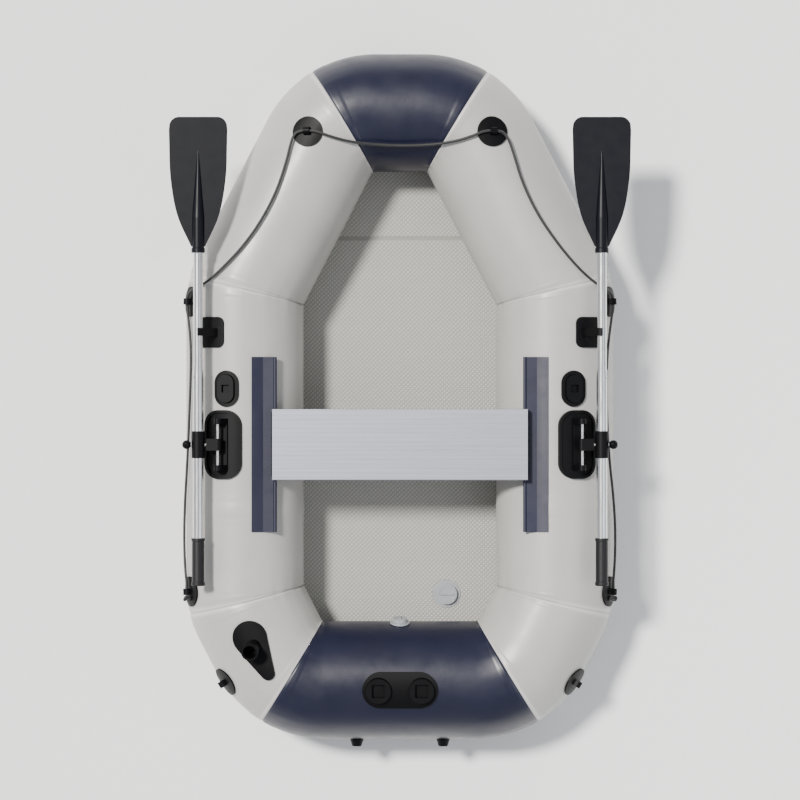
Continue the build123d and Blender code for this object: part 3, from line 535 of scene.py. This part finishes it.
def makeDeck():
    takeActive(nodes["air_deck"])
    bpy.ops.object.duplicate()
    body = bpy.context.object
    body.parent = None
    bpy.ops.object.mode_set(mode="EDIT")
    bpy.ops.mesh.select_all(action="SELECT")
    bpy.ops.mesh.remove_doubles(threshold=0.00002)
    bpy.ops.object.mode_set(mode="OBJECT")
    smooth(body, 35)
    width, length, middle = deckSet["width"], deckSet["length"], deckSet["middle"]
    columns, rows = round(width / deckSet["pitch"]), round(length / deckSet["pitch"])
    clearSelection()
    bpy.ops.mesh.primitive_grid_add(x_subdivisions=columns, y_subdivisions=rows, size=1,
                                    location=(0, middle, deckTop + deckSet["lift"]))
    skin = bpy.context.object
    skin.scale = (width, length, 1)
    settle(skin, "deckSkin")
    rises = []
    for vertex in skin.data.vertices:
        column = round((vertex.co.x + width / 2) / (width / columns))
        row = round((vertex.co.y - middle + length / 2) / (length / rows))
        ripple = deckSet["wobble"] * noise.noise(vertex.co * 14)
        rise = 0.0
        if abs(vertex.co.y - deckSet["seamAt"]) < deckSet["seamWidth"]:
            vertex.co.z -= deckSet["lift"] * 0.8
        elif (column + row) % 2:  # a diamond is a middle corner and the four beside it
            rise = deckSet["padEdge"]
        elif (column + row) % 4 == 0 and (column - row) % 4 == 0:
            rise = 1.0
        vertex.co.z += deckSet["relief"] * rise + max(0, ripple)
        rises.append(rise)
    # the rises also set the colour: painted shade in the grooves and the seam, painted highlight on the
    # raised pads
    embossPaintedShade = skin.data.color_attributes.new("embossPaintedShade", "FLOAT_COLOR", "POINT")
    for rise, shade in zip(rises, embossPaintedShade.data):
        shade.color = (rise, rise, rise, 1)
    # the deck body takes one middle tone of the same painted shade
    bodyPaintedShade = body.data.color_attributes.new("embossPaintedShade", "FLOAT_COLOR", "POINT")
    for shade in bodyPaintedShade.data:
        shade.color = (0.6, 0.6, 0.6, 1)
    bpy.ops.object.mode_set(mode="EDIT")
    across, along = deckSet["cut"]
    for side in (1, -1):
        keepInside((deckSet["halfWidth"] * side, deckSet["bowCorner"], 0), (across * side, along, 0))
        keepInside((deckSet["halfWidth"] * side, deckSet["sternCorner"], 0), (across * side, -along, 0))
    valveSpot = (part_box("deck_valve_body")[0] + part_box("deck_valve_body")[1]) / 2
    bpy.ops.mesh.select_all(action="DESELECT")
    bpy.ops.object.mode_set(mode="OBJECT")
    for vertex in skin.data.vertices:
        fromValve = (vertex.co.xy - valveSpot.xy).length
        if fromValve < deckSet["valveFlange"]:
            vertex.co.z = deckTop - 0.0002
        vertex.select = fromValve < deckSet["valveHole"]
    bpy.ops.object.mode_set(mode="EDIT")
    bpy.ops.mesh.delete(type="VERT")
    bpy.ops.object.mode_set(mode="OBJECT")
    smooth(skin, 10)
    skin.select_set(True)
    body.select_set(True)
    bpy.context.view_layer.objects.active = skin
    bpy.ops.object.join()
    deck = settle(bpy.context.object, "floorDeck")
    dress(deck, deckGrey)
    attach(deck, "hull")
    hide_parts("air_deck")
    return deck


makeDeck()
print("deck made")


# ---- bottom sheet and its ribbed seam tape

sheetCorners = [(417.5, -634.1), (417.5, 371.2), (173.4, 842.0), (-173.4, 842.0),
                (-417.5, 371.2), (-417.5, -634.1), (-320.6, -821.0), (320.6, -821.0)]
sheetSet = {
    "width": 0.835, "length": 1.663, "middle": 0.0105, "thickness": 0.0008, "top": 0.0028, "sag": 0.0011,
    "cell": 0.008, "glued": 0.043,
}


def cornerLoop(scale=0.001, height=0.0):
    return [Vector((x * scale, y * scale, height)) for x, y in sheetCorners]


def makeSheet():
    corners = cornerLoop()
    width, length = sheetSet["width"], sheetSet["length"]
    clearSelection()
    bpy.ops.mesh.primitive_grid_add(x_subdivisions=round(width / sheetSet["cell"]),
                                    y_subdivisions=round(length / sheetSet["cell"]), size=1,
                                    location=(0, sheetSet["middle"], sheetSet["top"]))
    sheet = bpy.context.object
    sheet.scale = (width, length, 1)
    settle(sheet, "bottomSheet")
    bpy.ops.object.mode_set(mode="EDIT")
    for a, b in zip(corners, corners[1:] + corners[:1]):
        edge = b - a
        if abs(edge.x) > 0.01 and abs(edge.y) > 0.01:
            keepInside(a, (edge.y, -edge.x, 0))
    bpy.ops.object.mode_set(mode="OBJECT")
    for vertex in sheet.data.vertices:
        spot = vertex.co
        inset = min((spot - a).dot(Vector((-(b - a).y, (b - a).x, 0)).normalized())
                    for a, b in zip(corners, corners[1:] + corners[:1]))
        loose = min(1, max(0, (inset - sheetSet["glued"]) / 0.03))
        ripples = noise.noise(Vector((spot.x * 9, spot.y * 26, 1.3))) * exp(-inset / 0.09) * 1.3
        slack = noise.noise(Vector((spot.x * 4 + 2, spot.y * 3, 5.1))) * 0.7
        vertex.co.z -= sheetSet["sag"] * loose * min(1, max(0, 0.5 + ripples + slack))
    takeActive(sheet)
    thick = sheet.modifiers.new("thickness", "SOLIDIFY")
    thick.thickness = sheetSet["thickness"]
    thick.offset = -1
    bpy.ops.object.modifier_apply(modifier="thickness")
    fixNormals(sheet)
    smooth(sheet, 50)
    dress(sheet, hullBlack)
    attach(sheet, "hull")
    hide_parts("bottom_sheet")


tapeSet = {"ribs": 7, "slope": 0.0006, "flat": 0.0022, "depth": 0.0009, "firstDepth": 0.0013, "top": 0.0014,
           "foot": 0.0001}


def makeTape():
    # the outline is inset again and again, up and down, so the ribs follow it round
    clearSelection()
    bpy.ops.mesh.primitive_circle_add(vertices=8, radius=0.5, fill_type="NGON", location=(0, 0, 0))
    tape = settle(bpy.context.object, "seamTape")
    for vertex, corner in zip(tape.data.vertices, cornerLoop(height=tapeSet["top"])):
        vertex.co = corner
    bpy.ops.object.mode_set(mode="EDIT")
    bpy.ops.mesh.select_all(action="SELECT")
    bpy.ops.mesh.inset(thickness=0.0004, depth=0, use_even_offset=True)
    slope, flat = tapeSet["slope"], tapeSet["flat"]
    for k in range(tapeSet["ribs"]):
        drop = tapeSet["depth"] if k else tapeSet["firstDepth"]
        for width, depth in ((slope, -drop), (flat, 0), (slope, tapeSet["depth"]), (flat, 0)):
            bpy.ops.mesh.inset(thickness=width, depth=depth, use_even_offset=True)
    bpy.ops.mesh.delete(type="FACE")
    bpy.ops.object.mode_set(mode="OBJECT")
    low = min(v.co.z for v in tape.data.vertices)
    for vertex in tape.data.vertices:
        vertex.co.z = max(tapeSet["foot"], min(tapeSet["top"], vertex.co.z - low + tapeSet["foot"]))
    fixNormals(tape)
    smooth(tape, 30)
    dress(tape, tapeBlack)
    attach(tape, "hull")
    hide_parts("bottom_seam_tape")


makeSheet()
makeTape()
print("bottom made")


# ---- finishes for the pieces that keep their shape

finishes = {
    "baffle": ["chamber_baffles"], "rail": ["seat_rail_left", "seat_rail_right"],
    "valve": [
        f"{place}_valve_{piece}" for place in ("deck", "stern", "side") for piece in ("body", "stem", "cap")],
    "plank": ["seat_plank"],
    "black": ["seat_channels", "oar_keepers", "accessory_sockets", "rope_eyes_left", "rope_eyes_right",
              "bow_towing_eye", "rod_holder", "stern_plate", "stern_knobs"],
    "steel": ["seat_screws"], "shaft": [], "blade": [], "grip": [],
}
for side in ("left", "right"):
    finishes["black"] += [
        f"{piece}_{side}" for piece in ("oarlock_base", "oarlock_arm", "oarlock_knob", "oar_collar")]
    finishes["steel"] += [f"oarlock_pin_{side}", f"oarlock_bolt_{side}", f"oar_snap_button_{side}"]
    finishes["shaft"] += [f"oar_handle_shaft_{side}", f"oar_blade_shaft_{side}"]
    finishes["blade"].append(f"oar_blade_{side}")
    finishes["grip"].append(f"oar_grip_{side}")
finishMaterials = {
    "baffle": scrimGrey, "rail": railNavy, "valve": valvePlastic, "plank": plankMetal, "black": blackPlastic,
    "steel": steel, "shaft": shaftMetal, "blade": bladePlastic, "grip": gripRubber,
}
for finish, names in finishes.items():
    for name in names:
        dress(nodes[name], finishMaterials[finish])
print("finishes given")


# ---- floor and light

lightSet = {
    "floorSize": 30, "floorShade": (0.93, 0.93, 0.93), "sunEnergy": 5.7, "sunSpread": 9,
    "sunWay": (0.46, -0.34, -1), "sunWarmth": (1.0, 0.972, 0.93), "sky": (0.92, 0.95, 1.0),
    "skyStrength": 0.58,
}


def areaLight(name, place, size, energy, warmth):
    data = bpy.data.lights.new(name, "AREA")
    data.energy = energy
    data.size = size
    data.color = warmth
    light = bpy.data.objects.new(name, data)
    light.location = place
    light.rotation_euler = (-Vector(place)).to_track_quat("-Z", "Y").to_euler()
    bpy.context.scene.collection.objects.link(light)


clearSelection()
bpy.ops.mesh.primitive_plane_add(size=lightSet["floorSize"], location=(0, 0, 0))
floor = settle(bpy.context.object, "studioFloor")
floorFinish = Finish("paleFloor", lightSet["floorShade"], 0.9)
dress(floor, floorFinish.material)
sunData = bpy.data.lights.new("softSun", "SUN")
sunData.energy = lightSet["sunEnergy"]
sunData.angle = radians(lightSet["sunSpread"])
sunData.color = lightSet["sunWarmth"]
sun = bpy.data.objects.new("softSun", sunData)
sun.rotation_euler = Vector(lightSet["sunWay"]).to_track_quat("-Z", "Y").to_euler()
bpy.context.scene.collection.objects.link(sun)
areaLight("fill", (3.2, -1.5, 4.0), 3.5, 60, (0.93, 0.96, 1.0))
world = bpy.data.worlds.new("studio")
world.use_nodes = True
world.node_tree.nodes["Background"].inputs["Color"].default_value = (*lightSet["sky"], 1)
world.node_tree.nodes["Background"].inputs["Strength"].default_value = lightSet["skyStrength"]
bpy.context.scene.world = world
